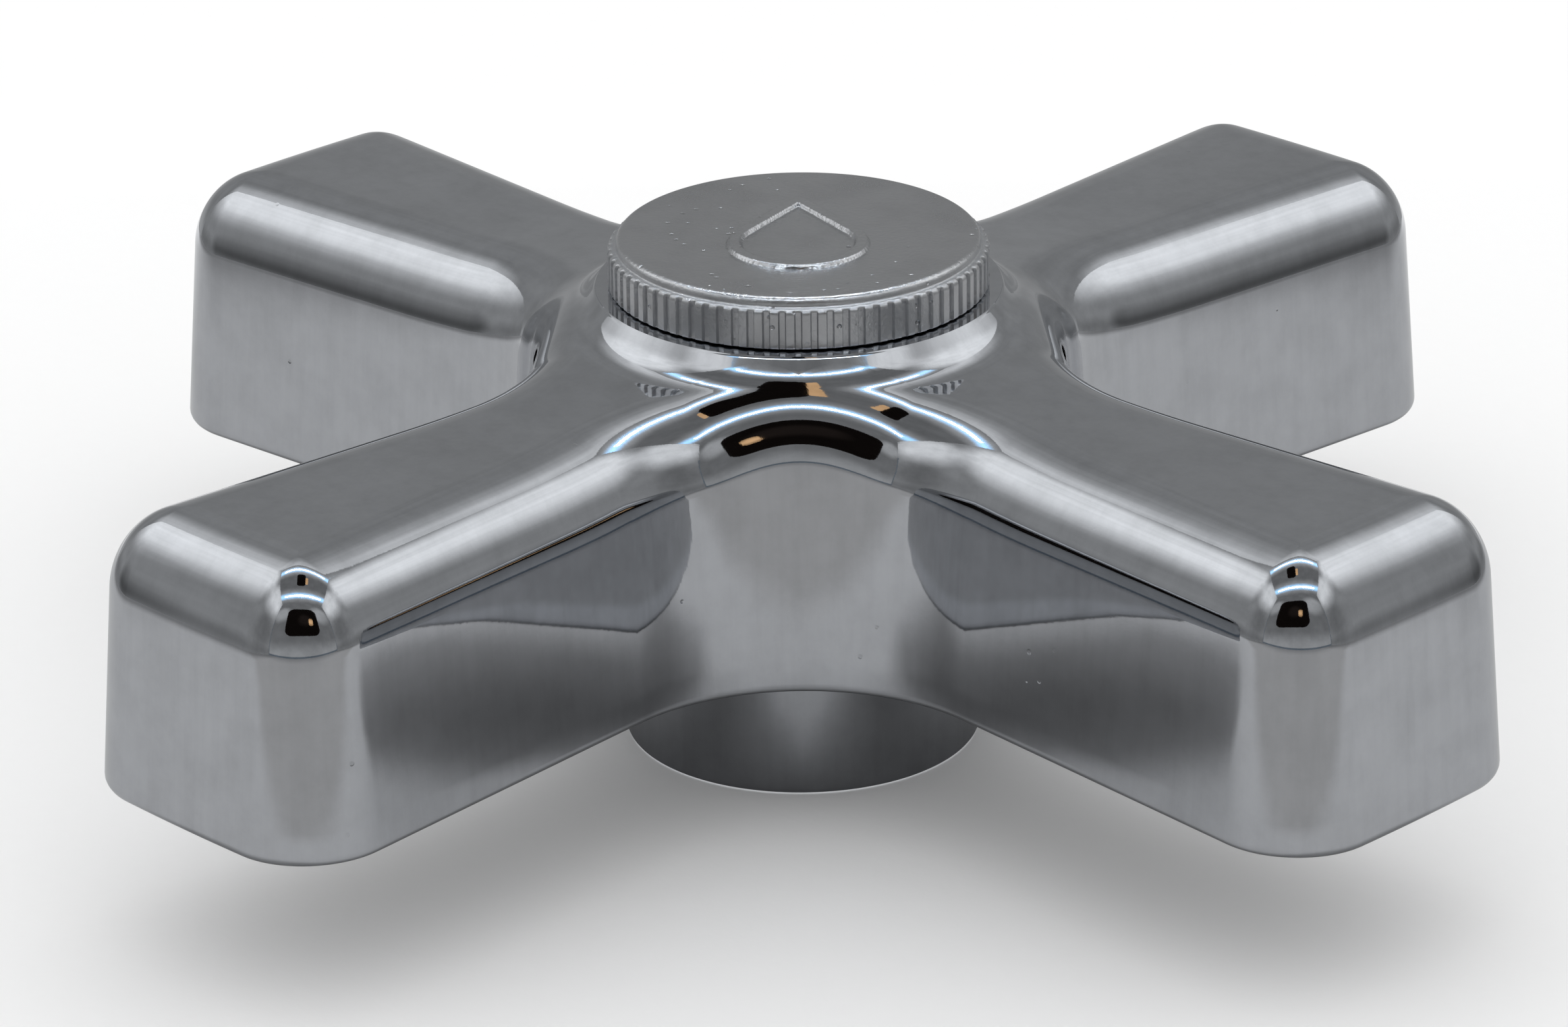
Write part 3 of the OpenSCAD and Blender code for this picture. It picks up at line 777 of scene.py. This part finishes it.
def glow(name, tint, base, spots=(), bands=(), halo=()):
    """Emission raised in round spots (u, v, radius, gain) and in bands. A halo is a blue band."""
    g = Graph(name)
    level = banded(g, base, bands)
    for u, v, reach, gain in spots:
        away = g.node("ShaderNodeVectorMath", {0: g.place, 1: (u, v, 0)}, operation="DISTANCE")
        level = g.math("ADD", level, g.ramp(away.outputs["Value"], reach, 0.35 * reach, 0.0, gain))
    cloth = g.ramp(g.noise(28, 3.0), 0.2, 0.8, 0.88, 1.12)
    inputs = {"Color": (*tint, 1), "Strength": g.math("MULTIPLY", level, cloth)}
    light = g.node("ShaderNodeEmission", inputs)
    if halo:
        cool = {"Color": (*HALO_TINT, 1), "Strength": banded(g, 0.0, halo)}
        haze = g.node("ShaderNodeEmission", cool)
        light = g.node("ShaderNodeAddShader", {0: light.outputs[0], 1: haze.outputs[0]})
    return g.shine(light)


def stage_face(name, outline, place, mat):
    """One flat face of the stage, drawn in its own coordinates and set down at a place."""
    data = bpy.data.meshes.new(name)
    data.from_pydata(outline, [], [list(range(len(outline)))])
    obj = bpy.data.objects.new(name, data)
    obj.matrix_world = place
    bpy.context.scene.collection.objects.link(obj)
    paint(obj, mat)
    return obj


def rounded_box(box, corner):
    """Outline of a box (u0, u1, v0, v1), its corners rounded."""
    u0, u1, v0, v1 = box
    steps = CORNER_STEPS if corner else 0
    outline = []
    for k, (u, v) in enumerate([(u1, v1), (u0, v1), (u0, v0), (u1, v0)]):
        cu = u - math.copysign(corner, u - (u0 + u1) / 2)
        cv = v - math.copysign(corner, v - (v0 + v1) / 2)
        for t in range(steps + 1):
            a = math.pi / 2 * (k + t / max(steps, 1))
            outline.append((cu + corner * math.cos(a), cv + corner * math.sin(a), 0))
    return outline


def panel(name, mat, origin, u_axis, v_axis, box, corner=0.0):
    """Panel of the tent, seen in reflections only. Its own coordinates are room coordinates (u, v)."""
    axes = Matrix((u_axis, v_axis, u_axis.cross(v_axis))).transposed().to_4x4()
    obj = stage_face(name, rounded_box(box, corner), Matrix.Translation(origin) @ axes, mat)
    obj.visible_camera = False
    obj.visible_diffuse = False
    obj.visible_shadow = False
    obj.visible_transmission = False


def lamp_row(name, forward):
    """A row of small white lamps along the roof."""
    g = Graph(name)
    across = g.node("ShaderNodeSeparateXYZ", {0: g.place}).outputs[0]
    dots = g.math("SINE", g.math("MULTIPLY", across, 2 * math.pi / LAMP_SPACING))
    level = g.ramp(dots, -0.6, 0.5, 9.0, 30.0)
    mat = g.shine(g.node("ShaderNodeEmission", {"Color": (1, 0.99, 0.97, 1), "Strength": level}))
    box = (-LAMP_REACH, LAMP_REACH, forward - LAMP_HALF_WIDTH, forward + LAMP_HALF_WIDTH)
    panel(name, mat, UP * (ROOF - 2 * STAND_OFF), SIDE, FWD, box)


def roof():
    """Pale cloth, brighter and with a blue haze along the lamps."""
    front, back = LAMP_ROWS.values()
    bright = [(front, 0.05, 0.35), (back, 0.05, 0.5)]
    halo = [(forward, 0.023, 1.9) for forward in (front, back)]
    cloth = glow("roof_cloth", PALE, 0.2, bands=bright, halo=halo)
    panel("roof", cloth, UP * ROOF, SIDE, FWD, (-WALL, WALL, BACK, FRONT))


def walls():
    """Left and right, back and front. Places on them are (along the wall, height)."""
    spots = [(-0.054, 0.137, 0.1, 0.92), (0.08, 0.178, 0.088, 0.7)]
    spots += [(0.0, 0.015, 0.03, -0.13), (0.1, 0.06, 0.06, -0.12)]
    for name, side in (("left", -WALL), ("right", WALL)):
        cloth = glow(name + "_cloth", PALE, 0.34, spots, [(0.008, 0.02, -0.1)])
        panel(name + "_wall", cloth, SIDE * side, FWD, UP, (BACK, FRONT, 0, ROOF))
    spots = [(-WALL, 0.15, 0.07, 0.35), (WALL, 0.15, 0.07, 0.35)]
    cloth = glow("back_cloth", PALE, 0.3, spots, [(ROOF, 0.11, 0.5), (0.0, 0.03, 0.15)])
    panel("back_wall", cloth, FWD * BACK, SIDE, UP, (-WALL, WALL, 0, ROOF))
    spots = [(0.07, 0.145, 0.06, 0.3), (-0.09, 0.145, 0.05, 0.3)]
    cloth = glow("front_cloth", PALE, 0.22, spots, [(0.006, 0.045, 0.2)])
    panel("front_wall", cloth, FWD * FRONT, SIDE, UP, (-WALL, WALL, 0, ROOF))


def openings():
    """The door in the front wall with a lamp behind it, the wall's seams, and the hole in the roof."""
    before_wall = FWD * (FRONT - STAND_OFF)
    dark = glow("door_dark", (1.0, 0.75, 0.65), 0.006, [(0.0, 0.11, 0.03, 0.012)])
    panel("door", dark, before_wall, SIDE, UP, (-0.064, 0.048, 0.056, 0.165), 0.022)
    lamp = glow("door_lamp", WARM, 0.55, [(0.02, 0.101, 0.012, 0.5)])
    panel("door_lamp", lamp, FWD * (FRONT - 2 * STAND_OFF), SIDE, UP, (0.013, 0.027, 0.087, 0.114), 0.006)
    seam = glow("seam_dark", (0.74, 0.87, 1.0), 0.2)
    panel("seam", seam, before_wall, SIDE, UP, (-WALL, WALL, 0, SEAM_H))
    for name, side in (("left", EDGE_W - WALL), ("right", WALL)):
        panel(name + "_edge", seam, before_wall, SIDE, UP, (side - EDGE_W, side, SEAM_H, 0.12))
    under_roof = UP * (ROOF - STAND_OFF)
    panel("hole", dark, under_roof, SIDE, FWD, (-0.034, 0.006, -0.022, 0.044), 0.012)
    orange = glow("hole_warm", WARM, 0.9)
    panel("hole_warm", orange, under_roof, SIDE, FWD, (0.006, 0.017, -0.004, 0.034), 0.004)


def tent():
    roof()
    walls()
    openings()
    for name, forward in LAMP_ROWS.items():
        lamp_row(name, forward)


def along(g, axis):
    """How far a place lies along a room axis."""
    return g.node("ShaderNodeVectorMath", {0: g.place, 1: axis}, operation="DOT_PRODUCT").outputs["Value"]


def painted_arm_shadow(g):
    """Mask of a painted shadow: how deep in the part's own shadow a place on the floor lies, from its
    distance to the arms' axes and to the stem.
    """
    place = g.node("ShaderNodeSeparateXYZ", {0: g.place})
    across = g.math("MINIMUM", g.math("ABSOLUTE", place.outputs[0]), g.math("ABSOLUTE", place.outputs[1]))
    out = g.node("ShaderNodeVectorMath", {0: g.place}, operation="LENGTH").outputs["Value"]
    return g.math("MULTIPLY", g.ramp(across, 0.0125, 0.006), g.ramp(out, 0.05, 0.038, 0.0, 0.62))


def painted_light_and_shade(g, colour, tone):
    """Painted light and shade across the floor that the metal mirrors: lighter behind the part, darker
    steps towards the front and out to the sides, then the painted shadow under the arms. Steps are (place,
    start, end, share, shade).
    """
    forward, across = along(g, FWD), g.math("ABSOLUTE", along(g, SIDE))
    steps = [
        (forward, -0.045, -0.085, 1, (0.9, 0.9, 0.9)),
        (forward, 0.05, 0.062, 0.46, (tone * 0.51, tone * 0.49, tone * 0.46)),
        (forward, 0.08, 0.135, 0.8, (tone * 0.4,) * 3),
        (across, 0.074, 0.105, 0.8, (tone * 0.3,) * 3),
    ]
    for place, start, end, share, shade in steps:
        colour = g.blend(g.ramp(place, start, end, 0, share), colour, shade)
    # Painted shadow under the arms: the mirrored floor falls to a quarter of its tone where the mask is
    # full.
    return g.blend(painted_arm_shadow(g), colour, (tone * 0.25,) * 3)


def floor_sheet(name, tone, height, reflected):
    """Pale sheet under the part. One is for the eye; its greyer twin, seen only in the metal's reflections,
    is a painted shaded copy of it.
    """
    g = Graph(name)
    grain = g.noise(900, 4.0)
    colour = g.blend(g.math("MULTIPLY", grain, 0.06), (tone, tone, tone), (tone * 0.8,) * 3)
    if reflected:
        # The mirrored twin carries painted light and shade on top of its grain.
        colour = painted_light_and_shade(g, colour, tone)
    mat = g.finish(colour, g.math("MULTIPLY_ADD", grain, 0.1, 0.8), g.bump(grain, 2e-5), 0.0)
    outline = [(u * FLOOR_HALF, v * FLOOR_HALF, 0) for u, v in ((-1, -1), (1, -1), (1, 1), (-1, 1))]
    obj = stage_face(name, outline, Matrix.Translation(UP * height), mat)
    obj.visible_glossy = reflected
    if reflected:
        obj.visible_camera = obj.visible_diffuse = obj.visible_shadow = False


def daylight(strength):
    """Even white light from all round, which is also the white background."""
    world = bpy.data.worlds.new("world")
    world.use_nodes = True
    background = world.node_tree.nodes["Background"]
    background.inputs["Color"].default_value = (1, 1, 1, 1)
    background.inputs["Strength"].default_value = strength
    bpy.context.scene.world = world
    bpy.context.scene.view_settings.view_transform = "Standard"


tent()
floor_sheet("floor", 0.93, -2e-5, False)
# Painted shade: the twin the metal mirrors is darker (0.55) than the floor the eye sees (0.93).
floor_sheet("painted_shade_floor", 0.55, 5e-5, True)
daylight(1.08)
